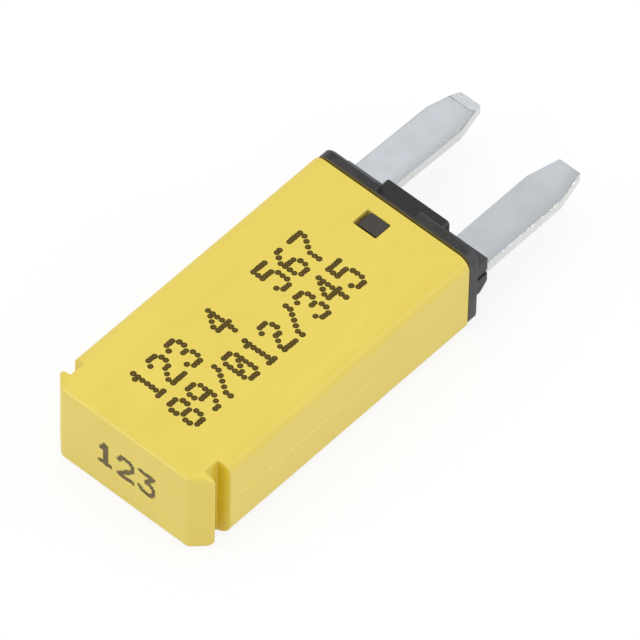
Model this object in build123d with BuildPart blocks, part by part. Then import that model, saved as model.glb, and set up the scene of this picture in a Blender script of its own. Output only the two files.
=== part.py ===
"""Blade-mounted thermal fuse: a self-resetting breaker in a small plug-in fuse housing.

A moulded cover snaps over a moulded base that carries two flat blade terminals. Inside, a
bimetal strip welded to one terminal presses its contact on the other, and a resistor chip
across both keeps the strip warm once it has opened.
"""

import os

from build123d import *

# Driving dimensions, in millimetres. Stations run from the closed end of the cover towards
# the blade tips, and heights run from the mid-plane of the housing.

# Housing
body_thick = 6.5
body_width = 12.4
body_corner = 0.88
cover_length = 23.3
wall = 0.75
end_wall = 3.1
end_rounding_top = 0.25
end_rounding_bottom = 0.35

# Grip head of the cover, set off by a puller notch in each narrow side
head_half = 6.13
head_chamfer = 1.1
head_rounding = 0.5
notch_start = 1.1
notch_end = 2.25
notch_floor = 5.3
notch_start_slope = 0.11
notch_end_slope = 0.19
notch_rounding = 0.1
body_edge_rounding = 0.14

# Snap window in each broad wall
window_width = 1.86
window_start = 20.87
window_end = 22.26
window_corner = 0.1

# Base moulding
flange_width = 12.2
flange_thick = 0.96
flange_rounding = 0.1
joint_groove = 0.13
joint_groove_depth = 0.3
nose_length = 1.52
block_half = 5.55
boss_top = 0.9
block_bottom = 1.75
nose_chamfer = 0.65
keel_half = 2.5
keel_height = 1.75
keel_rounding = 0.25
nose_rounding = 0.08
recess_half = 1.5
recess_left = 0.32
plug_length = 3.4
plug_gap = 0.08
plug_corner = 0.4
lug_left = -0.62
lug_right = 0.87
lug_corner = 0.12
lug_depth = 0.05
core_half = 1.9
core_height = 1.7
core_depth = 2.6

# Terminals, stamped from one strip thickness
blade_centre = 4.07
blade_width = 2.8
blade_thick = 0.8
blade_mid = -0.2
blade_length = 9.1
tip_width = 1.62
tip_taper = 2.4
tip_bevel = 0.88
tip_bevel_drop = 0.25
tip_break = 0.1
tip_rounding = 0.15
rolled_edge = 0.12
left_blade_lean = 0.19
root_relief = 0.1
root_relief_depth = 0.4
seat_depth = 0.55
arm_outer = 5.0
neck_inner = 3.0
arm_inner = 3.6
slit_height = 0.42
slit_mid = -0.3
slit_depth = 0.2

# Switch inside
strip_half = 1.6
strip_thick = 0.2
strip_root = 5.4
strip_tip = 17.7
contact_station = 16.4
contact_height = 0.4
contact_radius = 0.95
shank_radius = 0.5
root_pad_end = 8.2
contact_pad_start = 15.1
contact_pad_end = 17.8
joggle_start = 18.2
joggle_end = 19.4
heater_arm_start = 9.6
weld_plate_half = 1.25
weld_plate_length = 1.9
weld_plate_thick = 0.3

# Resistor chip and its two leads
chip_half = 2.6
chip_start = 9.9
chip_length = 3.6
chip_top = -0.75
chip_thick = 1.2
lead_thick = 0.2
lead_width = 1.8
lead_reach = 4.6

# Derived stations and heights
body_wall = notch_end + notch_end_slope * (body_width / 2 - notch_floor)
flange_back = cover_length + flange_thick
nose = flange_back + nose_length
overall_length = nose + blade_length
seat = flange_back - seat_depth
plug_start = cover_length - plug_length
blade_top = blade_mid + blade_thick / 2
blade_bottom = blade_mid - blade_thick / 2
strip_top = blade_top + strip_thick
contact_plane = blade_top - contact_height
pad_top = contact_plane - contact_height
pad_bottom = pad_top - blade_thick
cavity_width = body_width - 2 * wall
cavity_thick = body_thick - 2 * wall
plug_width = cavity_width - 2 * plug_gap
plug_thick = cavity_thick - 2 * plug_gap

# The frame's origin is under the middle of the part, on its lower broad face.
closed_end = -overall_length / 2
mid_height = body_thick / 2
plan = Plane(origin=(0, closed_end, mid_height), x_dir=(1, 0, 0), z_dir=(0, 0, 1))
side = Plane(origin=(0, closed_end, mid_height), x_dir=(0, 1, 0), z_dir=(1, 0, 0))


def cross(station):
    """Plane across the part at a station, facing the closed end, with +X right and +Z up."""
    origin = (0, closed_end + station, mid_height)
    return Plane(origin=origin, x_dir=(1, 0, 0), z_dir=(0, -1, 0))


def finish(part, label):
    """Label one sub-part and write it under that name."""
    part.label = label
    export_step(part, f"parts/{label}.step")


os.makedirs("parts", exist_ok=True)

# Cover: a box with rounded long edges, hollow from the mouth
with BuildPart() as cover:
    # Seen from above: the chamfered head, a little narrower than the rest
    with BuildSketch(plan.offset(-mid_height)) as outline:
        with BuildLine():
            Polyline(
                (0, 0),
                (head_half - head_chamfer, 0),
                (head_half, head_chamfer),
                (head_half, notch_end),
                (body_width / 2, notch_end),
                (body_width / 2, cover_length),
                (0, cover_length),
            )
            mirror(about=Plane.YZ)
        make_face()
        head_corners = outline.vertices().filter_by_position(Axis.Y, 0, head_chamfer)
        fillet(head_corners.filter_by(lambda v: v.X != 0), head_rounding)
    extrude(amount=body_thick)
    end_edges = cover.faces().sort_by(Axis.Y)[0].edges().filter_by(Axis.X)
    fillet(end_edges.sort_by(Axis.Z)[-1:], end_rounding_top)
    end_edges = cover.faces().sort_by(Axis.Y)[0].edges().filter_by(Axis.X)
    fillet(end_edges.sort_by(Axis.Z)[:1], end_rounding_bottom)
    # Puller notches, their walls leaning a little towards the mouth
    with BuildSketch(plan.offset(-mid_height)) as notches:
        Polygon(
            (notch_floor, notch_start),
            (notch_floor + notch_floor, notch_start + notch_start_slope * notch_floor),
            (notch_floor + notch_floor, notch_end + notch_end_slope * notch_floor),
            (notch_floor, notch_end),
            align=None,
        )
        fillet(notches.vertices().sort_by(Axis.X)[:2], notch_rounding)
        mirror(about=Plane.YZ)
    extrude(amount=body_thick, mode=Mode.SUBTRACT)
    body_edges = cover.edges().filter_by(Axis.Z).filter_by(
        lambda e: abs(e.center().Y - closed_end - body_wall) < 0.01
        and abs(abs(e.center().X) - body_width / 2) < 0.01
    )
    fillet(body_edges, body_edge_rounding)
    with BuildSketch(cross(0)):
        RectangleRounded(body_width, body_thick, body_corner)
    extrude(amount=-cover_length, mode=Mode.INTERSECT)
    with BuildSketch(cross(end_wall)):
        Rectangle(cavity_width, cavity_thick)
    extrude(amount=end_wall - cover_length, mode=Mode.SUBTRACT)
    with BuildSketch(plan):
        with Locations((0, (window_start + window_end) / 2)):
            RectangleRounded(window_width, window_end - window_start, window_corner)
    extrude(amount=body_thick, both=True, mode=Mode.SUBTRACT)
finish(cover.part, "cover")

# Base: flange, nose with two blade bosses and a middle keel, and the plug inside the cover
with BuildPart() as base:
    with BuildSketch(cross(flange_back)):
        RectangleRounded(flange_width, body_thick, body_corner)
    extrude(amount=flange_thick - joint_groove)
    for flange_face in (base.faces().sort_by(Axis.Y)[0], base.faces().sort_by(Axis.Y)[-1]):
        fillet(flange_face.edges(), flange_rounding)
    # The flange meets the cover's mouth inside a fine groove
    with BuildSketch(cross(cover_length + joint_groove)):
        Rectangle(flange_width - 2 * joint_groove_depth, body_thick - 2 * joint_groove_depth)
    extrude(amount=joint_groove)
    # Shallow recess in both long edges of the flange, level with the snap lugs
    with BuildSketch(cross(flange_back)):
        for direction in (1, -1):
            with Locations((0, direction * (keel_height + mid_height) / 2)):
                Rectangle(2 * recess_half, mid_height - keel_height)
    extrude(amount=flange_thick - recess_left, mode=Mode.SUBTRACT)
    # Boss block under and over the blades, with its lower front edge chamfered
    with BuildSketch(side):
        Polygon(
            (cover_length, -block_bottom),
            (nose - nose_chamfer, -block_bottom),
            (nose, nose_chamfer - block_bottom),
            (nose, boss_top),
            (cover_length, boss_top),
            align=None,
        )
    extrude(amount=block_half, both=True)
    with BuildSketch(cross(nose)) as keel:
        Rectangle(2 * keel_half, 2 * keel_height)
        fillet(keel.vertices(), keel_rounding)
    extrude(amount=nose_length + flange_thick)
    nose_outline = base.faces().sort_by(Axis.Y)[-1].edges()
    fillet(nose_outline, nose_rounding)
    # Plug, cored out between the terminals
    with BuildSketch(cross(cover_length)):
        RectangleRounded(plug_width, plug_thick, plug_corner)
    extrude(amount=plug_length)
    with BuildSketch(cross(plug_start)):
        RectangleRounded(2 * core_half, 2 * core_height, plug_corner)
    extrude(amount=-core_depth, mode=Mode.SUBTRACT)
    # Snap lugs: a ramp that enters first and a square face that catches in the window
    with BuildSketch(side.offset(lug_left)):
        for direction in (1, -1):
            foot = direction * (plug_thick / 2 - 0.1)
            crest = direction * (mid_height - lug_depth)
            Polygon(
                (window_start + 0.03, foot),
                (window_start + 0.16, crest),
                (window_end - 0.04, crest),
                (window_end - 0.04, foot),
                align=None,
            )
    extrude(amount=lug_right - lug_left)
    lug_edges = base.edges().filter_by(Axis.Z).filter_by(
        lambda e: abs(e.center().Y - closed_end - window_end + 0.04) < 0.01
        and abs(e.center().Z - mid_height) > plug_thick / 2
    )
    fillet(lug_edges, lug_corner)
    # Terminal passages: full blade width down to the seat, then the narrower neck
    for direction in (-1, 1):
        with BuildSketch(cross(nose)):
            with Locations((direction * blade_centre, blade_mid)):
                Rectangle(blade_width, blade_thick)
        extrude(amount=nose - seat, mode=Mode.SUBTRACT)
        with BuildSketch(cross(seat)):
            with Locations((direction * (arm_outer + neck_inner) / 2, blade_mid)):
                Rectangle(arm_outer - neck_inner, blade_thick)
        extrude(amount=seat - plug_start, mode=Mode.SUBTRACT)
        # Relief over, under and inside the root of each blade
        with BuildSketch(cross(nose)):
            with Locations((direction * (blade_centre - root_relief), blade_mid)):
                Rectangle(blade_width, blade_thick + 2 * root_relief)
        extrude(amount=root_relief_depth, mode=Mode.SUBTRACT)
        # Slit in the outer side of each boss
        with BuildSketch(cross(nose)):
            with Locations((direction * block_half, slit_mid)):
                Rectangle(2 * slit_depth, slit_height)
        extrude(amount=nose_length, mode=Mode.SUBTRACT)
finish(base.part, "base")


def blade_outline(direction, lean, inner_points):
    """Plan outline of a terminal: the blade, leaning from the nose, then the inner run."""
    centre = direction * blade_centre
    half = direction * blade_width / 2
    tip_half = direction * tip_width / 2
    shoulder = overall_length - tip_taper
    shoulder_centre = centre + lean * (shoulder - nose) / blade_length
    tip_centre = centre + lean
    return [
        (direction * arm_outer, seat),
        (centre + half, seat),
        (centre + half, nose),
        (shoulder_centre + half, shoulder),
        (tip_centre + tip_half, overall_length),
        (tip_centre - tip_half, overall_length),
        (shoulder_centre - half, shoulder),
        (centre - half, nose),
        (centre - half, seat),
        (direction * neck_inner, seat),
        (direction * neck_inner, plug_start),
        *inner_points,
    ]


def blade_edges(terminal, height):
    """Edges round the blade at one of its broad faces."""
    return terminal.edges().filter_by(
        lambda e: abs(e.center().Z - mid_height - height) < 0.001
        and e.center().Y > closed_end + seat + 0.01
    )


# Terminal that carries the bimetal strip: flat, with a long arm and a pad across the closed end
with BuildPart() as bimetal_terminal:
    with BuildSketch(plan.offset(-body_thick)) as blank:
        Polygon(
            *blade_outline(
                -1,
                left_blade_lean,
                [
                    (-arm_inner, plug_start),
                    (-arm_inner, root_pad_end),
                    (strip_half + 0.1, root_pad_end),
                    (strip_half + 0.1, strip_root - 0.2),
                    (-arm_outer, strip_root - 0.2),
                ],
            ),
            align=None,
        )
        fillet(blank.vertices().sort_by(Axis.Y)[-2:], tip_rounding)
        fillet(blank.vertices().sort_by(Axis.Y)[:2], 0.4)
    extrude(amount=2 * body_thick)
    with BuildSketch(side):
        Polygon(
            (0, blade_bottom),
            (0, blade_top),
            (overall_length - tip_bevel, blade_top),
            (overall_length, blade_top - tip_bevel_drop),
            (overall_length, blade_bottom + tip_break),
            (overall_length - tip_break, blade_bottom),
            align=None,
        )
    extrude(amount=body_width, both=True, mode=Mode.INTERSECT)
    # Punching rolls the edges of one broad face over: the upper one here
    long_edges = blade_edges(bimetal_terminal, blade_top).filter_by(
        lambda e: abs(e.tangent_at(0.5).Y) > 0.9
    )
    fillet(long_edges, rolled_edge)
finish(bimetal_terminal.part, "bimetal_terminal")

# Terminal that carries the fixed contact: joggled down so that the contacts meet face to face
with BuildPart() as contact_terminal:
    with BuildSketch(plan.offset(-body_thick)) as blank:
        Polygon(
            *blade_outline(
                1,
                0,
                [
                    (arm_inner, plug_start),
                    (arm_inner, contact_pad_end),
                    (-strip_half, contact_pad_end),
                    (-strip_half, contact_pad_start),
                    (arm_inner, contact_pad_start),
                    (arm_inner, heater_arm_start),
                    (arm_outer, heater_arm_start),
                ],
            ),
            align=None,
        )
        fillet(blank.vertices().sort_by(Axis.Y)[-2:], tip_rounding)
        fillet(blank.vertices().sort_by(Axis.X)[:2], 0.8)
    extrude(amount=2 * body_thick)
    with BuildSketch(side):
        Polygon(
            (0, pad_bottom),
            (0, pad_top),
            (joggle_start, pad_top),
            (joggle_end, blade_top),
            (overall_length - tip_break, blade_top),
            (overall_length, blade_top - tip_break),
            (overall_length, blade_bottom),
            (joggle_end, blade_bottom),
            (joggle_start, pad_bottom),
            align=None,
        )
    extrude(amount=body_width, both=True, mode=Mode.INTERSECT)
    with BuildSketch(plan):
        with Locations((0, contact_station)):
            Circle(shank_radius)
    extrude(amount=body_thick, both=True, mode=Mode.SUBTRACT)
    # This blade was punched from its other side
    fillet(blade_edges(contact_terminal, blade_bottom), rolled_edge)
finish(contact_terminal.part, "contact_terminal")

# Bimetal strip, slotted down the middle so that it snaps
with BuildPart() as bimetal_strip:
    with BuildSketch(plan.offset(blade_top)) as blank:
        with Locations((0, (strip_root + strip_tip) / 2)):
            Rectangle(2 * strip_half, strip_tip - strip_root)
        fillet(blank.vertices().sort_by(Axis.Y)[-2:], strip_half - 0.3)
        fillet(blank.vertices().sort_by(Axis.Y)[:2], 0.3)
        with Locations((0, (root_pad_end + contact_station) / 2)):
            SlotOverall(5.0, 0.9, rotation=90, mode=Mode.SUBTRACT)
        with Locations((0, contact_station)):
            Circle(shank_radius, mode=Mode.SUBTRACT)
    extrude(amount=strip_thick)
finish(bimetal_strip.part, "bimetal_strip")

with BuildPart() as weld_plate:
    with BuildSketch(plan.offset(strip_top)):
        with Locations((0, strip_root + 0.5 + weld_plate_length / 2)):
            RectangleRounded(2 * weld_plate_half, weld_plate_length, 0.3)
    extrude(amount=weld_plate_thick)
finish(weld_plate.part, "weld_plate")


def contact_rivet(head_low, head_high, shank_end, swage):
    """Half profile of a contact rivet beside its axis: slightly crowned head, shank and swage."""
    swage_radius = shank_radius + 0.2
    swage_end = shank_end + swage
    return [
        (0, head_low),
        (contact_radius - 0.15, head_low),
        (contact_radius, (head_low + head_high) / 2),
        (contact_radius, head_high),
        (shank_radius, head_high),
        (shank_radius, shank_end),
        (swage_radius, shank_end),
        (swage_radius - 0.1, swage_end),
        (0, swage_end),
    ]


contact_axis = Axis((0, closed_end + contact_station, 0), (0, 0, 1))
contact_side = Plane(
    origin=(0, closed_end + contact_station, mid_height), x_dir=(1, 0, 0), z_dir=(0, -1, 0)
)

with BuildPart() as moving_contact:
    with BuildSketch(contact_side):
        Polygon(*contact_rivet(contact_plane, blade_top, strip_top, 0.15), align=None)
    revolve(axis=contact_axis)
finish(moving_contact.part, "moving_contact")

with BuildPart() as fixed_contact:
    with BuildSketch(contact_side):
        Polygon(*contact_rivet(contact_plane, pad_top, pad_bottom, -0.15), align=None)
    revolve(axis=contact_axis)
finish(fixed_contact.part, "fixed_contact")

# Resistor chip that keeps the strip warm
with BuildPart() as heater_chip:
    with BuildSketch(plan.offset(chip_top - chip_thick)):
        with Locations((0, chip_start + chip_length / 2)):
            Rectangle(2 * chip_half, chip_length)
    extrude(amount=chip_thick)
    chamfer(heater_chip.edges(), 0.1)
finish(heater_chip.part, "heater_chip")


def lead_outline(direction, arm_face, above):
    """Bent lead seen from the closed end: one leg on the chip's end, one along a terminal arm."""
    start = direction * chip_half
    bend = direction * (chip_half + lead_thick)
    reach = direction * lead_reach
    outside = arm_face + lead_thick if above else arm_face - lead_thick
    if above:
        high, low = outside, arm_face
    else:
        high, low = arm_face, outside
    foot = chip_top - chip_thick + 0.15
    return [(start, foot), (start, high), (reach, high), (reach, low), (bend, low), (bend, foot)]


for label, direction, arm_face, above in (
    ("heater_lead_left", -1, blade_bottom, False),
    ("heater_lead_right", 1, pad_top, True),
):
    with BuildPart() as heater_lead:
        with BuildSketch(cross(chip_start + (chip_length + lead_width) / 2)):
            Polygon(*lead_outline(direction, arm_face, above), align=None)
        extrude(amount=lead_width)
    finish(heater_lead.part, label)
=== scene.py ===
"""Looks of a plug-in thermal fuse: moulded and plated finishes, ink marks and moulding traces.

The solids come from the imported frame. This file dresses them, adds the thin details that the
solids leave out, and sets a plain studio round the part.
"""

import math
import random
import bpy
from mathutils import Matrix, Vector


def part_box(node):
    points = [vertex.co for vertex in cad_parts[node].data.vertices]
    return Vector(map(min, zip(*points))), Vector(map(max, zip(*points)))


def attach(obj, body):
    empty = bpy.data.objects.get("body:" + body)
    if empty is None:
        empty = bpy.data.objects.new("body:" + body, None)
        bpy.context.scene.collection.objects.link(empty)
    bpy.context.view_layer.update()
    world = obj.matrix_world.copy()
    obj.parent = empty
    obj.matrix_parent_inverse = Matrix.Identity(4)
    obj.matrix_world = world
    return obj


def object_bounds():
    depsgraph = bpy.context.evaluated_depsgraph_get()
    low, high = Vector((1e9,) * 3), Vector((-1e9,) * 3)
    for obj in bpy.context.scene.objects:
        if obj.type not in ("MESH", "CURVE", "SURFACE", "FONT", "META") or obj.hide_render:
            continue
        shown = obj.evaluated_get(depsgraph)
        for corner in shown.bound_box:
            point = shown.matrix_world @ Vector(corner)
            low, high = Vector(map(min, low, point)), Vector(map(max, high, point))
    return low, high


bl_info = {
    "name": "Thermal fuse looks",
    "version": (1, 0, 0),
    "blender": (4, 5, 0),
    "location": "View3D > Sidebar > Fuse",
    "description": "Dresses a plug-in thermal fuse and sets the studio round it",
    "category": "Object",
}

import bpy
from mathutils import Matrix, Vector

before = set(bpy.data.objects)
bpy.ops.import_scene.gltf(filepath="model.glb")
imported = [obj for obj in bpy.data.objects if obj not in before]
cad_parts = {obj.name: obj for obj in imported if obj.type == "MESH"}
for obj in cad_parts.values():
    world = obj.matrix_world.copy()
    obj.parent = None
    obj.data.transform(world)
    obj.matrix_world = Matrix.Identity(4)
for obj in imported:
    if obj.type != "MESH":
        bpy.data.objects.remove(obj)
cad_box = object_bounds()

MM = 0.001

# Places and sizes on the part, in metres in its own frame
COVER_LOW, COVER_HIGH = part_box("cover")
CLOSED_END = COVER_LOW.y
MOUTH = COVER_HIGH.y
TOP = COVER_HIGH.z
MID_HEIGHT = (COVER_LOW.z + COVER_HIGH.z) / 2
NOTCH_FLOOR = 5.3 * MM
NOTCH_CORNER = CLOSED_END + 2.25 * MM
WINDOW_NEAR = MOUTH - 2.5 * MM
WINDOW_FAR = MOUTH - 0.95 * MM
FLANGE_BACK = MOUTH + 0.96 * MM
BASE_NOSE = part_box("base")[1].y
BLADE_TOP = MID_HEIGHT + 0.2 * MM
BLADE_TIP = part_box("contact_terminal")[1].y
BLADE_EDGE = 5.47 * MM
BLADE_INSIDE = 2.67 * MM
TAPER = 2.4 * MM
TAPER_DEPTH = 0.59 * MM
CREASE = BLADE_TIP - 0.88 * MM


# ---------------------------------------------------------------- settings


class CoverSettings(bpy.types.PropertyGroup):
    """Yellow moulded cover."""

    colour: bpy.props.FloatVectorProperty(
        name="Cover colour",
        description="Body colour of the moulded cover",
        subtype="COLOR",
        size=3,
        min=0,
        max=1,
        default=(0.80, 0.632, 0.086),
    )
    roughness: bpy.props.FloatProperty(
        name="Cover roughness",
        description="Middle value of the cover's roughness",
        subtype="FACTOR",
        min=0,
        max=1,
        default=0.4,
    )
    flash_height: bpy.props.FloatProperty(
        name="Flash height",
        description="How far the parting-line flash stands proud of the narrow sides",
        unit="LENGTH",
        default=0.045 * MM,
    )


class BaseSettings(bpy.types.PropertyGroup):
    """Black moulded base."""

    colour: bpy.props.FloatVectorProperty(
        name="Base colour",
        description="Body colour of the moulded base",
        subtype="COLOR",
        size=3,
        min=0,
        max=1,
        default=(0.0062, 0.0062, 0.0058),
    )
    roughness: bpy.props.FloatProperty(
        name="Base roughness",
        description="Middle value of the base's roughness",
        subtype="FACTOR",
        min=0,
        max=1,
        default=0.5,
    )


class PrintSettings(bpy.types.PropertyGroup):
    """Ink marks on the cover."""

    dot_colour: bpy.props.FloatVectorProperty(
        name="Dot colour",
        description="Colour of the dot-matrix ink on the broad face",
        subtype="COLOR",
        size=3,
        min=0,
        max=1,
        default=(0.060, 0.039, 0.005),
    )
    end_colour: bpy.props.FloatVectorProperty(
        name="End mark colour",
        description="Colour of the solid ink on the closed end",
        subtype="COLOR",
        size=3,
        min=0,
        max=1,
        default=(0.15, 0.112, 0.045),
    )
    dot_diameter: bpy.props.FloatProperty(
        name="Dot diameter",
        description="Diameter of one ink drop",
        unit="LENGTH",
        default=0.42 * MM,
    )
    cell_pitch: bpy.props.FloatProperty(
        name="Character pitch",
        description="Distance from one dot-matrix character to the next",
        unit="LENGTH",
        default=1.56 * MM,
    )


class TerminalSettings(bpy.types.PropertyGroup):
    """Tin-plated blade terminals."""

    tin: bpy.props.FloatVectorProperty(
        name="Tin colour",
        description="Reflected colour of the plated broad faces",
        subtype="COLOR",
        size=3,
        min=0,
        max=1,
        default=(0.480, 0.512, 0.538),
    )
    sheared: bpy.props.FloatVectorProperty(
        name="Sheared edge colour",
        description="Reflected colour of the punched edges",
        subtype="COLOR",
        size=3,
        min=0,
        max=1,
        default=(0.76, 0.76, 0.75),
    )


class StudioSettings(bpy.types.PropertyGroup):
    """Camera and lights."""

    azimuth: bpy.props.FloatProperty(
        name="Azimuth",
        description="Direction of view round the part, 0 along +Y",
        subtype="ANGLE",
        default=math.radians(41.098),
    )
    elevation: bpy.props.FloatProperty(
        name="Elevation",
        description="Height of the camera over the part's plane",
        subtype="ANGLE",
        default=math.radians(51.070),
    )
    roll: bpy.props.FloatProperty(
        name="Roll",
        description="Tilt of the camera about its own axis",
        subtype="ANGLE",
        default=math.radians(1.303),
    )
    distance: bpy.props.FloatProperty(
        name="Distance",
        description="From the camera to the point it looks at",
        unit="LENGTH",
        default=700 * MM,
    )
    look_at: bpy.props.FloatVectorProperty(
        name="Look at",
        description="The point in the middle of the view",
        subtype="XYZ",
        unit="LENGTH",
        size=3,
        default=(1.169 * MM, -1.665 * MM, 3.710 * MM),
    )
    lens: bpy.props.FloatProperty(
        name="Lens",
        description="Focal length in millimetres",
        default=667.62,
    )
    sky: bpy.props.FloatProperty(
        name="Sky strength",
        description="Strength of the even light from all round",
        default=0.815,
    )
    key: bpy.props.FloatProperty(
        name="Key power",
        description="Power of the soft overhead lamp in watts",
        default=0.37,
    )
    front: bpy.props.FloatProperty(
        name="Front lamp power",
        description="Power in watts of the low softbox towards the closed end",
        default=0.3,
    )
    side: bpy.props.FloatProperty(
        name="Side lamp power",
        description="Power in watts of the low softbox on the right",
        default=0.36,
    )


# ---------------------------------------------------------------- shader kit


class Value:
    """A float socket in an expression: arithmetic on it adds Math nodes."""

    def __init__(self, nodes, socket):
        self.nodes = nodes
        self.socket = socket

    def maths(self, operation, *operands):
        sockets = dict(enumerate(operands))
        return self.nodes.node("ShaderNodeMath", {"operation": operation}, sockets)

    def __add__(self, other):
        return self.maths("ADD", self, other)

    def __radd__(self, other):
        return self.maths("ADD", other, self)

    def __sub__(self, other):
        return self.maths("SUBTRACT", self, other)

    def __rsub__(self, other):
        return self.maths("SUBTRACT", other, self)

    def __mul__(self, other):
        return self.maths("MULTIPLY", self, other)

    def __rmul__(self, other):
        return self.maths("MULTIPLY", other, self)

    def __gt__(self, other):
        return self.maths("GREATER_THAN", self, other)

    def __lt__(self, other):
        return self.maths("LESS_THAN", self, other)

    def __abs__(self):
        return self.maths("ABSOLUTE", self)

    def at_least(self, other):
        return self.maths("MAXIMUM", self, other)

    def at_most(self, other):
        return self.maths("MINIMUM", self, other)


class Nodes:
    """An emptied node tree, filled node by node."""

    def __init__(self, tree):
        self.tree = tree
        tree.nodes.clear()

    def node(self, kind, settings=None, sockets=None, output=0):
        """Add a node: its settings first, then the values or links of its sockets."""
        node = self.tree.nodes.new(kind)
        for key, value in (settings or {}).items():
            setattr(node, key, value)
        for key, value in (sockets or {}).items():
            target = self.pick(node.inputs, key)
            if isinstance(value, Value):
                self.tree.links.new(value.socket, target)
            else:
                target.default_value = value
        return Value(self, self.pick(node.outputs, output)) if len(node.outputs) else None

    @staticmethod
    def pick(sockets, key):
        if isinstance(key, int):
            return sockets[key]
        return next(s for s in sockets if s.enabled and key in (s.name, s.identifier))


class Finish(Nodes):
    """One material of the part."""

    def __init__(self, name):
        self.material = bpy.data.materials.new(name)
        self.material.use_nodes = True
        super().__init__(self.material.node_tree)
        self.place = self.node("ShaderNodeTexCoord", output="Object")

    def scaled(self, x=1, y=1, z=1):
        """Object coordinates in millimetres, stretched by a factor along each axis."""
        factors = (x / MM, y / MM, z / MM)
        settings = {"operation": "MULTIPLY"}
        return self.node("ShaderNodeVectorMath", settings, {0: self.place, 1: factors})

    def axis(self, name):
        """One object coordinate in millimetres."""
        return self.node("ShaderNodeSeparateXYZ", sockets={0: self.scaled()}, output=name)

    def noise(self, place, scale, detail=2, rough=0.5, distortion=0):
        """Noise from 0 to 1."""
        return self.node(
            "ShaderNodeTexNoise",
            sockets={
                "Vector": place,
                "Scale": scale,
                "Detail": detail,
                "Roughness": rough,
                "Distortion": distortion,
            },
        )

    def ramp(self, value, low, high):
        """Smooth step of a value from 0 at low to 1 at high."""
        return self.node(
            "ShaderNodeMapRange",
            {"interpolation_type": "SMOOTHSTEP"},
            {"Value": value, "From Min": low, "From Max": high},
        )

    def mix(self, factor, a, b):
        """Colour between a and b."""
        return self.node(
            "ShaderNodeMix",
            {"data_type": "RGBA"},
            {"Factor": factor, "A": colour4(a), "B": colour4(b)},
            output="Result",
        )

    def facing(self, name):
        """One component of the direction in which the surface faces, from -1 to 1."""
        normal = self.node("ShaderNodeTexCoord", output="Normal")
        return self.node("ShaderNodeSeparateXYZ", sockets={0: normal}, output=name)

    def rounded_edges(self):
        """1 on the rounding between a face that looks up and an upright one."""
        up = self.facing("Z")
        return self.ramp(up, 0.1, 0.4) * self.ramp(up, 0.985, 0.85)

    def specks(self, scale, radius, keep):
        """Small round specks: 1 inside the kept ones, 0 elsewhere."""
        settings = {"feature": "F1"}
        place = self.scaled()
        sockets = {"Vector": place, "Scale": scale}
        distance = self.node("ShaderNodeTexVoronoi", settings, sockets, "Distance")
        tint = self.node("ShaderNodeTexVoronoi", settings, sockets, "Color")
        chance = self.node("ShaderNodeSeparateColor", sockets={"Color": tint}, output="Red")
        return (distance < radius) * (chance < keep)

    def surface(self, bump=None, bump_depth=0, **values):
        """Principled surface. What varies is a Value; what doesn't is set on the socket."""
        sockets = {key.replace("_", " "): colour4(value) for key, value in values.items()}
        if bump is not None:
            sockets["Normal"] = self.node(
                "ShaderNodeBump", sockets={"Distance": bump_depth, "Height": bump}
            )
        shader = self.node("ShaderNodeBsdfPrincipled", sockets=sockets)
        self.node("ShaderNodeOutputMaterial", sockets={"Surface": shader})
        return self.material


def colour4(value):
    """A colour with its alpha; anything else unchanged."""
    if isinstance(value, (tuple, list, Vector, bpy.types.bpy_prop_array)) and len(value) == 3:
        return (*value, 1)
    return value


def dress(name, material):
    """Give a carried solid its finish."""
    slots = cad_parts[name].data.materials
    slots.clear()
    slots.append(material)


def add_piece(name, vertices, faces, material, smooth=False):
    """A thin extra piece, already in place in the part's frame."""
    mesh = bpy.data.meshes.new(name)
    mesh.from_pydata(vertices, [], faces)
    mesh.validate()
    if smooth:
        mesh.shade_smooth()
    mesh.materials.append(material)
    piece = bpy.data.objects.new(name, mesh)
    bpy.context.scene.collection.objects.link(piece)
    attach(piece, "housing")
    return piece


def settings(name):
    return getattr(bpy.context.scene, name)


# ---------------------------------------------------------------- cover


def add_painted_recess_light(finish, colour):
    """Painted bounce light in the puller notches, painted light on the window walls, and painted
    orange shade in the notches' corners.

    The painted shade is deepest in the right notch.
    """
    across = abs(finish.axis("X"))
    along = finish.axis("Y")
    below_face = TOP / MM - MID_HEIGHT / MM - abs(finish.axis("Z") - MID_HEIGHT / MM)
    out = across - NOTCH_FLOOR / MM
    back = NOTCH_CORNER / MM - along
    in_notch = (out > -0.04) * (back > -0.22) * (back < 1.25) * finish.ramp(below_face, 0, 0.5)
    from_corner = out * out + back * back
    facing_end = 0.55 + 0.45 * abs(finish.facing("Y"))
    # Painted bounce light: paler, deeper yellow towards the notch's corner, stronger on walls
    # facing along the part
    painted_bounce = in_notch * finish.ramp(from_corner, 1.1, 0.2)
    # Painted shade: deep orange-yellow in the notch's corner, deepest in the right notch
    painted_corner_shade = in_notch * finish.ramp(from_corner, 0.55, 0) * (0.25 + 0.75 * (finish.axis("X") > 0))
    in_window = (across < 1) * (along > WINDOW_NEAR / MM) * (along < WINDOW_FAR / MM)
    # Painted light on the upper part of the window walls
    painted_wall_light = in_window * finish.ramp(below_face, 0.05, 0.3)
    colour = finish.mix(painted_bounce * facing_end, colour, (0.85, 0.67, 0.055))
    colour = finish.mix(painted_wall_light, colour, (1, 0.77, 0.17))
    return finish.mix(painted_corner_shade * facing_end, colour, (0.73, 0.53, 0.022))


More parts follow.
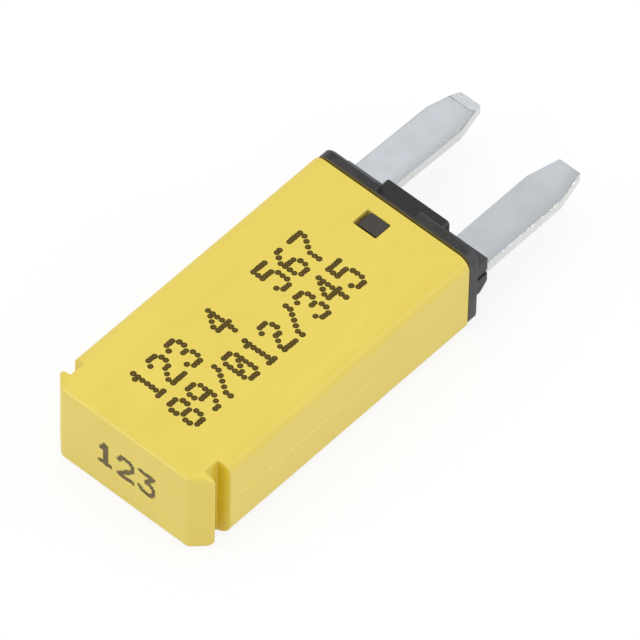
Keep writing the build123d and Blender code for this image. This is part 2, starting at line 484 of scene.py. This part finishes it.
def moulded_cover(choice):
    """Satin yellow plastic: faint flow marks, fine tool grain, light scuffs and a few specks,
    with a painted sheen on the upright faces, a painted highlight on the closed end's top edge,
    and painted light and shade in the notches and windows.
    """
    finish = Finish("cover_satin_yellow")
    flow = finish.noise(finish.scaled(y=0.25), 0.35, detail=3, distortion=1.2)
    cloud = finish.noise(finish.scaled(), 0.9, detail=4)
    grain = finish.noise(finish.scaled(), 12, detail=3, rough=0.65)
    scuffs = finish.ramp(finish.noise(finish.scaled(x=3.5, y=0.35), 2.4, detail=5), 0.66, 0.74)
    cross_scuffs = finish.ramp(finish.noise(finish.scaled(x=0.3, y=4), 2.1, detail=5), 0.7, 0.77)
    wear = scuffs + cross_scuffs
    dark_specks = finish.specks(1.1, 0.035, 0.16)
    base = tuple(choice.colour)
    deep = (base[0] * 0.955, base[1] * 0.94, base[2] * 0.82)
    pale = (base[0] * 1.02, base[1] * 1.03, base[2] * 1.3)
    colour = finish.mix(finish.ramp(flow, 0.35, 0.7), deep, base)
    colour = finish.mix(0.3 * cloud + 0.25 * finish.ramp(grain, 0.3, 0.7), colour, pale)
    colour = finish.mix(0.1 * wear, colour, (0.86, 0.78, 0.42))
    colour = finish.mix(0.35 * dark_specks, colour, (0.3, 0.2, 0.03))
    up = finish.facing("Z")
    upright = finish.ramp(abs(up), 0.8, 0.3)
    end_edge_highlight = finish.ramp(finish.facing("Y") * up, -0.36, -0.49)
    # Painted sheen: upright faces paler and less saturated, as if reflecting the white
    # surroundings
    colour = finish.mix(0.6 * upright, colour, (0.795, 0.64, 0.13))
    # Painted highlight along the rounded top edge of the closed end
    colour = finish.mix(0.55 * end_edge_highlight, colour, (0.87, 0.76, 0.22))
    colour = add_painted_recess_light(finish, colour)
    roughness = choice.roughness - 0.05 + 0.1 * cloud + 0.1 * wear
    height = 0.6 * grain + 0.4 * cloud - 0.5 * wear
    return finish.surface(
        bump=height, bump_depth=0.004 * MM, Base_Color=colour, Roughness=roughness
    )


def whitened_flash():
    """Thin plastic squeezed out at the parting line: paler, with a few dark crumbs."""
    finish = Finish("cover_flash")
    patch = finish.noise(finish.scaled(), 2.6, detail=4, rough=0.7)
    crumbs = finish.specks(4, 0.2, 0.1)
    colour = finish.mix(finish.ramp(patch, 0.35, 0.65), (0.84, 0.69, 0.12), (0.91, 0.81, 0.27))
    colour = finish.mix(0.5 * crumbs, colour, (0.45, 0.33, 0.08))
    return finish.surface(
        bump=patch, bump_depth=0.006 * MM, Base_Color=colour, Roughness=0.45 + 0.1 * patch
    )


class FUSE_OT_cover(bpy.types.Operator):
    """Finish the yellow cover and add the flash along its parting line"""

    bl_idname = "fuse.cover"
    bl_label = "Cover"

    # The parting line from the wall of the notch to the mouth, in millimetres: from the middle,
    # from the closed end and from the middle height; then the way in which the wall faces, as X
    # and Y, and the flash's share of its full height
    parting = (
        (5.42, 2.273, -0.02, 0.19, -1, 1),
        (6.04, 2.392, -0.03, 0.19, -1, 0.9),
        (6.15, 2.43, -0.03, 1, -1, 0.8),
        (6.2, 2.56, -0.03, 1, 0, 0.6),
        (6.2, 3.6, -0.04, 1, 0, 1),
        (6.2, 14.0, -0.14, 1, 0, 0.9),
        (6.2, 17.0, -0.17, 1, 0, 0.35),
        (6.2, 23.28, -0.24, 1, 0, 0.25),
    )

    flash_half_width = 0.07 * MM

    def execute(self, context):
        choice = settings("fuse_cover")
        dress("cover", moulded_cover(choice))
        material = whitened_flash()
        for side, name in ((-1, "flash_left"), (1, "flash_right")):
            path = []
            for x, y, z, out_x, out_y, share in self.parting:
                place = Vector((side * x * MM, CLOSED_END + y * MM, MID_HEIGHT + z * MM))
                path.append((place, Vector((side * out_x, out_y, 0)).normalized(), share))
            height = choice.flash_height
            draw = random.Random(3 + side)
            vertices, faces = ragged_ridge(path, height, self.flash_half_width, 0.5, draw)
            add_piece(name, vertices, faces, material)
        return {"FINISHED"}


def ragged_ridge(path, height, half_width, lowest, draw):
    """Vertices and faces of a fine closed ridge along a path.

    Each point of the path is a place, the way in which the ridge stands out there and its share
    of the full height. Along the way the height varies from lowest to 1 times that.
    """
    step = 0.16 * MM
    root = 0.02 * MM
    stations = []
    for (start, start_out, start_share), (end, end_out, end_share) in zip(path, path[1:]):
        count = max(1, round((end - start).length / step))
        for k in range(count):
            along = k / count
            share = start_share + (end_share - start_share) * along
            stations.append((start.lerp(end, along), start_out.lerp(end_out, along), share))
    stations.append(path[-1])
    vertices = []
    for k, (place, outward, share) in enumerate(stations):
        run = stations[min(k + 1, len(stations) - 1)][0] - stations[max(k - 1, 0)][0]
        width = half_width * (0.25 + 0.75 * share) * draw.uniform(0.6, 1.2)
        beside = run.cross(outward).normalized() * width
        ends = min(1, (k + 1) / 3, (len(stations) - k) / 3)
        proud = height * share * ends * draw.uniform(lowest, 1)
        foot = place + beside * draw.uniform(-0.3, 0.3) - outward * root
        vertices += [foot - beside, foot + outward * (proud + root), foot + beside]
    last = 3 * (len(stations) - 1)
    faces = [(0, 2, 1), (last, last + 1, last + 2)]
    for a in range(0, last, 3):
        b = a + 3
        faces += [(a, a + 1, b + 1, b), (a + 1, a + 2, b + 2, b + 1), (a, b, b + 2, a + 2)]
    return vertices, faces


# ---------------------------------------------------------------- base


def add_flange_tones(finish, colour, on_flange, sideways, mottle, coarse):
    """Mottled flange with painted light that makes its sides paler, and a dark parting line across
    each of them.
    """
    height = finish.axis("Z") - MID_HEIGHT / MM
    on_side = sideways * on_flange
    # Painted light on the flange's sides: paler than the body colour, palest towards the bottom
    side = finish.mix(finish.ramp(height, 0, -1.6), (0.048, 0.047, 0.045), (0.08, 0.077, 0.072))
    seam = finish.ramp(abs(height + 0.3), 0.06, 0.02) * on_side
    colour = finish.mix(on_flange * (0.3 + 0.7 * mottle), colour, (0.028, 0.0275, 0.027))
    colour = finish.mix(on_side * (0.6 + 0.4 * coarse), colour, side)
    return finish.mix(seam, colour, (0.004, 0.004, 0.004))


def add_flange_rim_light(finish, colour, on_flange):
    """Painted bluish highlight along the back rim, most of all beside the left blade, and painted
    yellow bounce light from the cover in front.

    The painted bounce light is strongest inside the groove between the flange and the cover's
    mouth.
    """
    along = finish.axis("Y")
    by_left_blade = finish.ramp(finish.axis("X"), -1.5, -2.2)
    back_rim_highlight = on_flange * finish.ramp(FLANGE_BACK / MM - along, 0.2, 0.1)
    front_rim_bounce = on_flange * finish.ramp(along - MOUTH / MM, 0.34, 0.14)
    groove_bounce = on_flange * finish.ramp(finish.facing("Y"), -0.3, -0.8)
    # Painted highlight on the flange's back rim
    wear_and_rim_highlight = back_rim_highlight * (0.15 + 0.75 * by_left_blade)
    colour = finish.mix(wear_and_rim_highlight, colour, (0.11, 0.118, 0.14))
    # Painted yellow bounce light from the cover on the front rim and in the groove
    colour = finish.mix(0.7 * front_rim_bounce, colour, (0.062, 0.049, 0.018))
    return finish.mix(groove_bounce, colour, (0.15, 0.11, 0.012))


def moulded_base(choice):
    """Matte black plastic: fine grain, worn streaks, dust specks and browner lugs in the windows,
    with painted light on the sides and bosses, painted highlights on the upper rounded edges and
    the rims, and painted yellow bounce light from the cover.
    """
    finish = Finish("base_matte_black")
    cloud = finish.noise(finish.scaled(), 1.3, detail=4)
    grain = finish.noise(finish.scaled(), 11, detail=4, rough=0.7)
    coarse = finish.noise(finish.scaled(), 5, detail=4, rough=0.65)
    mottle = finish.ramp(cloud + 0.5 * coarse, 0.62, 0.9)
    dust = finish.specks(3.2, 0.06, 0.12)
    wear_and_rim_highlight = finish.ramp(finish.noise(finish.scaled(y=0.4), 2.2, detail=5), 0.6, 0.75)
    across = abs(finish.axis("X"))
    along = finish.axis("Y")
    sideways = finish.ramp(abs(finish.facing("X")), 0.6, 0.95)
    on_lug = (across < 1.2) * (along < MOUTH / MM - 0.8)
    on_nose = along > FLANGE_BACK / MM
    on_flange = (along > MOUTH / MM - 0.3) * (1 - on_nose)
    on_boss = on_nose * (across > 3.5).at_least(0.5 * sideways)
    base = tuple(choice.colour)
    grey = tuple(c * 2.4 for c in base)
    patchy = 0.3 + 0.7 * coarse
    colour = finish.mix(0.5 * cloud + 0.4 * wear_and_rim_highlight, base, grey)
    # Browner on the lugs that show in the windows
    colour = finish.mix(on_lug * (0.35 + 0.65 * coarse), colour, (0.057, 0.047, 0.036))
    colour = add_flange_tones(finish, colour, on_flange, sideways, mottle, coarse)
    # Painted light: the bosses' sides and outer tops paler and bluish
    colour = finish.mix(on_boss * (0.6 + 0.4 * coarse), colour, (0.056, 0.055, 0.058))
    colour = finish.mix(0.45 * dust, colour, (0.2, 0.19, 0.17))
    # Painted highlight on the upper rounded edges
    colour = finish.mix(finish.rounded_edges() * patchy, colour, (0.06, 0.063, 0.07))
    colour = add_flange_rim_light(finish, colour, on_flange)
    return finish.surface(
        bump=0.6 * grain + 0.4 * coarse,
        bump_depth=0.01 * MM,
        Base_Color=colour,
        Roughness=choice.roughness - 0.08 + 0.14 * cloud + 0.08 * grain,
        Specular_IOR_Level=0.4,
    )


class FUSE_OT_base(bpy.types.Operator):
    """Finish the black base"""

    bl_idname = "fuse.base"
    bl_label = "Base"

    def execute(self, context):
        dress("base", moulded_base(settings("fuse_base")))
        return {"FINISHED"}


# ---------------------------------------------------------------- ink

DOT_FIGURES = {
    "0": ("01110", "10001", "10011", "10101", "11001", "10001", "01110"),
    "1": ("00100", "01100", "00100", "00100", "00100", "00100", "01110"),
    "2": ("01110", "10001", "00001", "00110", "01000", "10000", "11111"),
    "3": ("01110", "10001", "00001", "00110", "00001", "10001", "01110"),
    "4": ("00010", "00110", "01010", "10010", "11111", "00010", "00010"),
    "5": ("11111", "10000", "11110", "00001", "00001", "10001", "01110"),
    "6": ("00110", "01000", "10000", "11110", "10001", "10001", "01110"),
    "7": ("11111", "00001", "00010", "00100", "01000", "01000", "01000"),
    "8": ("01110", "10001", "10001", "01110", "10001", "10001", "01110"),
    "9": ("01110", "10001", "10001", "01111", "00001", "00010", "01100"),
    "/": ("00001", "00001", "00010", "00100", "01000", "10000", "10000"),
    " ": (),
}
# Each row of figures and how far from the middle its upper side lies
PRINT_ROWS = (("123 4  567", -2.65 * MM), ("89/012/345", 0.46 * MM))


def dot_ink(colour):
    """Dried drops of ink, darker towards their rims."""
    finish = Finish("ink_dots")
    settings = {"attribute_type": "GEOMETRY", "attribute_name": "rim"}
    rim = finish.node("ShaderNodeAttribute", settings, output="Fac")
    patch = finish.noise(finish.scaled(), 5, detail=3)
    thin = tuple(2 * c for c in colour)
    mixed = finish.mix(finish.ramp(rim, 0.1, 0.75), thin, tuple(colour))
    mixed = finish.mix(finish.ramp(patch, 0.45, 0.8) * 0.4, mixed, thin)
    return finish.surface(Base_Color=mixed, Roughness=0.7, Specular_IOR_Level=0.2)


def solid_ink(colour):
    """Solid printed ink, a little uneven."""
    finish = Finish("ink_solid")
    patch = finish.noise(finish.scaled(), 4, detail=5, rough=0.7)
    thin = tuple(1.7 * c for c in colour)
    mixed = finish.mix(finish.ramp(patch, 0.4, 0.8), tuple(colour), thin)
    return finish.surface(Base_Color=mixed, Roughness=0.7, Specular_IOR_Level=0.3)


class FUSE_OT_top_print(bpy.types.Operator):
    """Print two rows of plain dot-matrix figures on the broad face"""

    bl_idname = "fuse.top_print"
    bl_label = "Top print"

    row_start = CLOSED_END + 3.2 * MM
    column_pitch = 0.235 * MM
    line_pitch = 0.362 * MM
    # Each ring of a drop: share of the radius, height over the face and darkness of the ink
    rings = ((0.45, 0.006 * MM, 0.2), (0.78, 0.0085 * MM, 0.75), (1, -0.002 * MM, 1))
    middle_height = 0.005 * MM
    segments = 14

    def execute(self, context):
        choice = settings("fuse_print")
        draw = random.Random(11)
        vertices = []
        faces = []
        rim = []
        for text, row_x in PRINT_ROWS:
            for cell, figure in enumerate(text):
                for line, bits in enumerate(DOT_FIGURES[figure]):
                    for column in (i for i, bit in enumerate(bits) if bit == "1"):
                        x = row_x + line * self.line_pitch + draw.gauss(0, 0.008) * MM
                        start = self.row_start + cell * choice.cell_pitch
                        y = start + column * self.column_pitch + draw.gauss(0, 0.01) * MM
                        radius = choice.dot_diameter / 2 * draw.uniform(0.93, 1.05)
                        self.add_drop(vertices, faces, rim, x, y, radius)
        material = dot_ink(choice.dot_colour)
        piece = add_piece("top_print", vertices, faces, material, smooth=True)
        values = piece.data.attributes.new("rim", "FLOAT", "POINT")
        values.data.foreach_set("value", rim)
        return {"FINISHED"}

    def add_drop(self, vertices, faces, rim, x, y, radius):
        """A low drop with a raised rim, as ink dries."""
        centre = len(vertices)
        vertices.append((x, y, TOP + self.middle_height))
        rim.append(0)
        for share, lift, tone in self.rings:
            for k in range(self.segments):
                angle = math.tau * k / self.segments
                dx = radius * share * math.cos(angle)
                dy = radius * share * math.sin(angle)
                vertices.append((x + dx, y + dy, TOP + lift))
                rim.append(tone)
        for k in range(self.segments):
            after = (k + 1) % self.segments
            faces.append((centre, centre + 1 + k, centre + 1 + after))
            for ring in range(len(self.rings) - 1):
                a = centre + 1 + ring * self.segments
                b = a + self.segments
                faces.append((a + k, b + k, b + after, a + after))


class FUSE_OT_end_print(bpy.types.Operator):
    """Print three plain figures on the closed end, in upright bars of ink"""

    bl_idname = "fuse.end_print"
    bl_label = "End print"

    # Strokes of each figure in a unit box, from its lower left corner
    strokes = {
        "1": (((0.2, 0.72), (0.52, 1), (0.52, 0)), ((0.16, 0), (0.88, 0))),
        "2": (((0.02, 0.8), (0.2, 1), (0.74, 1), (0.98, 0.82), (0.98, 0.62), (0, 0), (1, 0)),),
        "3": (
            ((0.04, 1), (0.95, 1), (0.45, 0.58), (0.78, 0.56), (1, 0.4)),
            ((1, 0.4), (1, 0.2), (0.78, 0), (0.2, 0), (0, 0.16)),
        ),
    }
    width = 1.12 * MM
    height = 1.7 * MM
    pitch = 1.65 * MM
    left = -2.06 * MM
    foot = MID_HEIGHT - 0.79 * MM
    pen = 0.17 * MM
    bar = 0.14 * MM
    ink_thickness = 0.004 * MM

    def execute(self, context):
        draw = random.Random(5)
        vertices = []
        faces = []
        for index, figure in enumerate("123"):
            left = self.left + index * self.pitch
            bars = round((self.width + 2 * self.pen) / self.bar)
            for k in range(bars):
                x = left - self.pen + (k + 0.5) * self.bar
                for low, high in self.runs(figure, x - left, draw):
                    self.add_bar(vertices, faces, x, low, high)
        material = solid_ink(settings("fuse_print").end_colour)
        add_piece("end_print", vertices, faces, material)
        return {"FINISHED"}

    def runs(self, figure, x, draw):
        """Heights at which the pen covers one upright line of a figure."""
        grain = 0.05 * MM
        steps = round((self.height + 2 * self.pen) / grain)
        inked = []
        for k in range(steps):
            z = -self.pen + (k + 0.5) * grain
            inked.append(self.distance(figure, x, z) < self.pen)
        start = None
        for k, on in enumerate([*inked, False]):
            if on and start is None:
                start = k
            if not on and start is not None:
                ragged = draw.uniform(-0.04, 0.04) * MM
                yield -self.pen + start * grain + ragged, -self.pen + k * grain + ragged
                start = None

    def distance(self, figure, x, z):
        """From a point to the nearest stroke of a figure."""
        point = Vector((x, z))
        nearest = math.inf
        for stroke in self.strokes[figure]:
            ends = [Vector((u * self.width, v * self.height)) for u, v in stroke]
            for start, end in zip(ends, ends[1:]):
                run = end - start
                share = min(1, max(0, (point - start).dot(run) / run.length_squared))
                nearest = min(nearest, (point - start - share * run).length)
        return nearest

    def add_bar(self, vertices, faces, x, low, high):
        """One bar of ink, a thin skin on the closed end."""
        first = len(vertices)
        half = self.bar * 0.52
        y = CLOSED_END - self.ink_thickness
        for dx, z in ((-half, low), (half, low), (half, high), (-half, high)):
            vertices.append((x + dx, y, self.foot + z))
        faces.append((first, first + 1, first + 2, first + 3))


# ---------------------------------------------------------------- terminals


def add_coined_bevel(finish, colour, spangle):
    """Bright mottled bevel at the tip, behind a crease of painted shade.

    The painted shade is darkest at the crease's outer end, and the crease turns towards the tip at
    its inner end.
    """
    up = finish.facing("Z")
    inward = (finish.axis("X") + 3.3).at_least(0)
    past_crease = finish.axis("Y") - 2.4 * (inward * inward) - CREASE / MM
    slope = finish.ramp(finish.facing("Y"), 0.1, 0.25) * finish.ramp(abs(up), 0.5, 0.8)
    crease = finish.ramp(abs(past_crease), 0.09, 0.03) * finish.ramp(up, 0.2, 0.45)
    bevel = finish.mix(finish.ramp(spangle, 0.35, 0.65), (0.57, 0.585, 0.605), (0.69, 0.71, 0.73))
    colour = finish.mix(slope * (past_crease > 0), colour, bevel)
    depth = 0.5 + 0.3 * finish.ramp(-4.2 - finish.axis("X"), 0, 0.4)
    # Painted shade along the crease
    return finish.mix(depth * crease, colour, (0.3, 0.31, 0.32))


def add_slit_shade(finish, colour, spangle):
    """Painted shade on the outer edge, where it lies bare in the slit of its boss."""
    outer = finish.ramp(finish.facing("X") * finish.axis("X"), 2, 4)
    depth = BASE_NOSE / MM - finish.axis("Y")
    # Painted shade inside the slit
    slit_shade = outer * finish.ramp(depth, 0, 0.1) * finish.ramp(depth + spangle, 2.9, 1.9)
    return finish.mix(slit_shade, colour, (0.07, 0.06, 0.05))


def tinned_blade(name, tin, sheared, right_edge, edge_shade_width, coined=False):
    """Satin tin on the rolled faces, paler streaked metal on the punched edges.

    The broad faces carry painted shade over a band beside the right edge, where they roll over,
    mottled close to the edge. A coined blade has a bevel at its tip, and one that isn't coined is
    brighter there.
    """
    finish = Finish(name)
    level = abs(finish.facing("Z"))
    edge = 1 - finish.ramp(level, 0.2, 0.45)
    rolled_edge = finish.ramp(level, 0.99, 0.9) * (1 - edge)
    rolled = finish.noise(finish.scaled(x=7, y=0.25, z=7), 1.4, detail=5, rough=0.6)
    cloud = finish.noise(finish.scaled(), 0.8, detail=4)
    spangle = finish.noise(finish.scaled(), 7, detail=3)
    shear = finish.noise(finish.scaled(x=0.6, y=4, z=0.8), 1.6, detail=5, rough=0.65)
    scratch = finish.ramp(finish.noise(finish.scaled(x=9, y=0.2, z=1), 2.6, detail=3), 0.66, 0.72)
    dull, bright, edge_shaded_tin, shaded = (tuple(c * f for c in tin) for f in (0.92, 1.12, 0.88, 0.68))
    worn = tuple(c * 0.86 for c in sheared)
    face = finish.mix(finish.ramp(cloud, 0.35, 0.6), dull, tin)
    face = finish.mix(0.25 * rolled + 0.25 * spangle, face, bright)
    along = finish.axis("Y")
    drawn_in = finish.ramp(along, (BLADE_TIP - TAPER) / MM, BLADE_TIP / MM)
    from_edge = right_edge / MM - TAPER_DEPTH / MM * drawn_in - finish.axis("X")
    if not coined:
        near_tip = finish.ramp(along, (BLADE_TIP - TAPER - MM) / MM, (BLADE_TIP - MM) / MM)
        face = finish.mix(0.6 * near_tip, face, bright)
    outside = finish.ramp(along, MOUTH / MM, FLANGE_BACK / MM)
    # Painted shade over a band beside the right edge, where the broad face rolls over
    edge_shade = outside * finish.ramp(from_edge - 0.3 * spangle, edge_shade_width / MM, 0)
    face = finish.mix(0.8 * edge_shade, face, edge_shaded_tin)
    # Painted shade, mottled, close to the edge
    mottle = outside * finish.ramp(spangle, 0.48, 0.62) * finish.ramp(from_edge, 0.36, 0.12)
    face = finish.mix(0.5 * mottle, face, shaded)
    punched = finish.mix(0.8 * finish.ramp(shear, 0.4, 0.8), sheared, worn)
    colour = finish.mix(edge, face, punched)
    # Painted shade on the rolled rounding between the broad face and the edge
    colour = finish.mix(0.45 * rolled_edge, colour, shaded)
    colour = add_slit_shade(finish, colour, spangle)
    if coined:
        colour = add_coined_bevel(finish, colour, spangle)
    roughness = 0.3 + 0.1 * cloud + 0.05 * spangle - 0.05 * scratch
    return finish.surface(
        bump=0.5 * rolled + 0.3 * spangle - 0.6 * scratch + 0.8 * (edge * shear),
        bump_depth=0.004 * MM,
        Base_Color=colour,
        Roughness=roughness + 0.1 * edge + 0.12 * rolled_edge,
        Metallic=1,
    )


def bright_burr():
    """Raised metal along a punched edge: bright, with dark nicks."""
    finish = Finish("terminal_burr")
    nicks = finish.noise(finish.scaled(), 5, detail=4, rough=0.7)
    colour = finish.mix(finish.ramp(nicks, 0.4, 0.58), (0.8, 0.79, 0.74), (0.46, 0.47, 0.47))
    return finish.surface(
        bump=nicks, bump_depth=0.01 * MM, Base_Color=colour, Roughness=0.4, Metallic=1
    )


class FUSE_OT_terminals(bpy.types.Operator):
    """Finish both terminals and raise the burr along the right one's outer edge"""

    bl_idname = "fuse.terminals"
    bl_label = "Terminals"

    edge_shade_width_left = 0.6 * MM
    edge_shade_width_right = 0.9 * MM
    burr_size = 0.04 * MM
    burr_inset = 0.03 * MM
    burr_stop = 0.2 * MM

    def execute(self, context):
        choice = settings("fuse_terminals")
        tin = tuple(choice.tin)
        sheared = tuple(choice.sheared)
        left = tinned_blade(
            "terminal_left_tin", tin, sheared, -BLADE_INSIDE, self.edge_shade_width_left, coined=True
        )
        dress("bimetal_terminal", left)
        right_tin = tuple(0.9 * c for c in tin)
        right_sheared = tuple(1.05 * c for c in sheared)
        right = tinned_blade(
            "terminal_right_tin", right_tin, right_sheared, BLADE_EDGE, self.edge_shade_width_right
        )
        dress("contact_terminal", right)
        self.add_burr()
        return {"FINISHED"}

    def add_burr(self):
        edge = BLADE_EDGE - self.burr_inset
        tapered = TAPER - self.burr_stop
        outline = (
            (edge, BASE_NOSE),
            (edge, BLADE_TIP - TAPER),
            (edge - TAPER_DEPTH * tapered / TAPER, BLADE_TIP - TAPER + tapered),
        )
        path = [(Vector((x, y, BLADE_TOP)), Vector((0, 0, 1)), 1) for x, y in outline]
        draw = random.Random(8)
        vertices, faces = ragged_ridge(path, self.burr_size, self.burr_size, 0.25, draw)
        add_piece("blade_burr", vertices, faces, bright_burr())


# ---------------------------------------------------------------- switch and heater


def worn_metal(name, colour, roughness, grain_y=1):
    """Plain metal with a little tarnish. A grain_y below 1 draws its grain out along the part."""
    finish = Finish(name)
    grain = finish.noise(finish.scaled(x=6, y=6 * grain_y), 1.6, detail=4, rough=0.6)
    cloud = finish.noise(finish.scaled(), 1.2, detail=3)
    tarnish = tuple(c * f for c, f in zip(colour, (0.72, 0.66, 0.58)))
    mixed = finish.mix(finish.ramp(cloud, 0.35, 0.8) * 0.6, colour, tarnish)
    return finish.surface(
        bump=grain,
        bump_depth=0.003 * MM,
        Base_Color=mixed,
        Roughness=roughness - 0.06 + 0.14 * grain,
        Metallic=1,
    )


class FUSE_OT_switch(bpy.types.Operator):
    """Finish the bimetal strip, its weld plate and both contacts"""

    bl_idname = "fuse.switch"
    bl_label = "Switch"

    def execute(self, context):
        dress("bimetal_strip", worn_metal("bimetal_rolled", (0.52, 0.49, 0.43), 0.38, 0.05))
        dress("weld_plate", worn_metal("weld_plate_nickel", (0.58, 0.56, 0.52), 0.36))
        silver = worn_metal("contact_silver_alloy", (0.78, 0.76, 0.71), 0.3)
        for name in ("moving_contact", "fixed_contact"):
            dress(name, silver)
        return {"FINISHED"}


def fired_ceramic():
    """Dark fired ceramic with fine pits."""
    finish = Finish("heater_fired_ceramic")
    grain = finish.noise(finish.scaled(), 9, detail=4, rough=0.7)
    pits = finish.specks(5, 0.12, 0.3)
    colour = finish.mix(0.7 * grain, (0.16, 0.15, 0.135), (0.24, 0.22, 0.2))
    colour = finish.mix(0.5 * pits, colour, (0.06, 0.055, 0.05))
    roughness = 0.7 + 0.15 * grain
    return finish.surface(
        bump=grain - pits, bump_depth=0.012 * MM, Base_Color=colour, Roughness=roughness
    )


class FUSE_OT_heater(bpy.types.Operator):
    """Finish the heater chip and its leads"""

    bl_idname = "fuse.heater"
    bl_label = "Heater"

    def execute(self, context):
        dress("heater_chip", fired_ceramic())
        brass = worn_metal("lead_spring_brass", (0.72, 0.55, 0.26), 0.32, 0.2)
        for name in ("heater_lead_left", "heater_lead_right"):
            dress(name, brass)
        return {"FINISHED"}


# ---------------------------------------------------------------- stage


def seen_ray(nodes):
    """1 for the rays that show a surface to the camera, directly or in gloss or glass."""
    rays = [
        nodes.node("ShaderNodeLightPath", output=name)
        for name in ("Is Camera Ray", "Is Glossy Ray", "Is Transmission Ray")
    ]
    return (rays[0] + rays[1] + rays[2]).at_most(1)


class FUSE_OT_stage(bpy.types.Operator):
    """Set the floor, the lights and the camera"""

    bl_idname = "fuse.stage"
    bl_label = "Stage"

    floor_reach = 1.5
    floor_gap = 0.01 * MM
    # Direction from the part, distance from it and side length of each lamp
    overhead = ((-0.22, 0.1, 0.95), 0.52, 0.4)
    by_closed_end = ((-0.41, -0.78, 0.47), 0.56, 0.2)
    on_right = ((0.78, 0.47, 0.41), 0.56, 0.2)

    def execute(self, context):
        choice = settings("fuse_studio")
        self.add_floor()
        self.set_sky(context.scene, choice.sky)
        self.add_softbox("key_lamp", choice.key, *self.overhead)
        self.add_softbox("front_lamp", choice.front, *self.by_closed_end)
        self.add_softbox("side_lamp", choice.side, *self.on_right)
        self.add_camera(context.scene, choice)
        context.scene.view_settings.view_transform = "Standard"
        return {"FINISHED"}

    def add_floor(self):
        """A white floor that keeps the part's shadow, just clear of its lower face."""
        finish = Finish("floor_white")
        matt = finish.node("ShaderNodeBsdfDiffuse", sockets={"Color": (0.86, 0.86, 0.86, 1)})
        white = finish.node("ShaderNodeEmission", sockets={"Strength": 1.04})
        shader = finish.node(
            "ShaderNodeMixShader", sockets={0: 0.8 * seen_ray(finish), 1: matt, 2: white}
        )
        finish.node("ShaderNodeOutputMaterial", sockets={"Surface": shader})
        mesh = bpy.data.meshes.new("floor")
        corners = ((-1, -1), (1, -1), (1, 1), (-1, 1))
        z = cad_box[0].z - self.floor_gap
        vertices = [(x * self.floor_reach, y * self.floor_reach, z) for x, y in corners]
        mesh.from_pydata(vertices, [], [(0, 1, 2, 3)])
        mesh.materials.append(finish.material)
        floor = bpy.data.objects.new("floor", mesh)
        bpy.context.scene.collection.objects.link(floor)

    def set_sky(self, scene, strength):
        """Even light for the surfaces, plain white where the sky itself is seen."""
        world = bpy.data.worlds.new("studio_sky")
        world.use_nodes = True
        scene.world = world
        nodes = Nodes(world.node_tree)
        shown = strength + (1 - strength) * seen_ray(nodes)
        sockets = {"Color": (1, 1, 1, 1), "Strength": shown}
        sky = nodes.node("ShaderNodeBackground", sockets=sockets)
        nodes.node("ShaderNodeOutputWorld", sockets={"Surface": sky})

    def add_softbox(self, name, power, direction, distance, size):
        """A square lamp that faces the part from one direction."""
        data = bpy.data.lights.new(name, "AREA")
        data.shape = "SQUARE"
        data.size = size
        data.energy = power
        lamp = bpy.data.objects.new(name, data)
        lamp.location = Vector(direction).normalized() * distance
        lamp.rotation_euler = lamp.location.to_track_quat("Z", "Y").to_euler()
        bpy.context.scene.collection.objects.link(lamp)

    def add_camera(self, scene, choice):
        """The camera, turned by its azimuth, elevation and roll round the point it looks at."""
        camera_data = bpy.data.cameras.new("camera")
        camera_data.lens = choice.lens
        camera_data.clip_start = 0.05
        camera_data.clip_end = 10
        camera = bpy.data.objects.new("camera", camera_data)
        turn = (
            Matrix.Rotation(choice.azimuth, 4, "Z")
            @ Matrix.Rotation(math.pi / 2 - choice.elevation, 4, "X")
            @ Matrix.Rotation(choice.roll, 4, "Z")
        )
        back = turn @ Vector((0, 0, choice.distance))
        camera.matrix_world = Matrix.Translation(Vector(choice.look_at) + back) @ turn
        scene.collection.objects.link(camera)
        scene.camera = camera


# ---------------------------------------------------------------- add-on


class FUSE_PT_looks(bpy.types.Panel):
    """Every step of the dressing, in the order that main runs them"""

    bl_idname = "FUSE_PT_looks"
    bl_label = "Thermal fuse"
    bl_space_type = "VIEW_3D"
    bl_region_type = "UI"
    bl_category = "Fuse"

    def draw(self, context):
        for operator in OPERATORS:
            self.layout.operator(operator.bl_idname)


GROUPS = {
    "fuse_cover": CoverSettings,
    "fuse_base": BaseSettings,
    "fuse_print": PrintSettings,
    "fuse_terminals": TerminalSettings,
    "fuse_studio": StudioSettings,
}
OPERATORS = (
    FUSE_OT_cover,
    FUSE_OT_base,
    FUSE_OT_top_print,
    FUSE_OT_end_print,
    FUSE_OT_terminals,
    FUSE_OT_switch,
    FUSE_OT_heater,
    FUSE_OT_stage,
)


def register():
    for cls in (*GROUPS.values(), *OPERATORS, FUSE_PT_looks):
        bpy.utils.register_class(cls)
    for name, group in GROUPS.items():
        setattr(bpy.types.Scene, name, bpy.props.PointerProperty(type=group))


def unregister():
    for name in GROUPS:
        delattr(bpy.types.Scene, name)
    for cls in (FUSE_PT_looks, *reversed(OPERATORS), *reversed(GROUPS.values())):
        bpy.utils.unregister_class(cls)


def main():
    register()
    bpy.ops.fuse.cover()
    bpy.ops.fuse.base()
    bpy.ops.fuse.top_print()
    bpy.ops.fuse.end_print()
    bpy.ops.fuse.terminals()
    bpy.ops.fuse.switch()
    bpy.ops.fuse.heater()
    bpy.ops.fuse.stage()


if __name__ == "__main__":
    main()
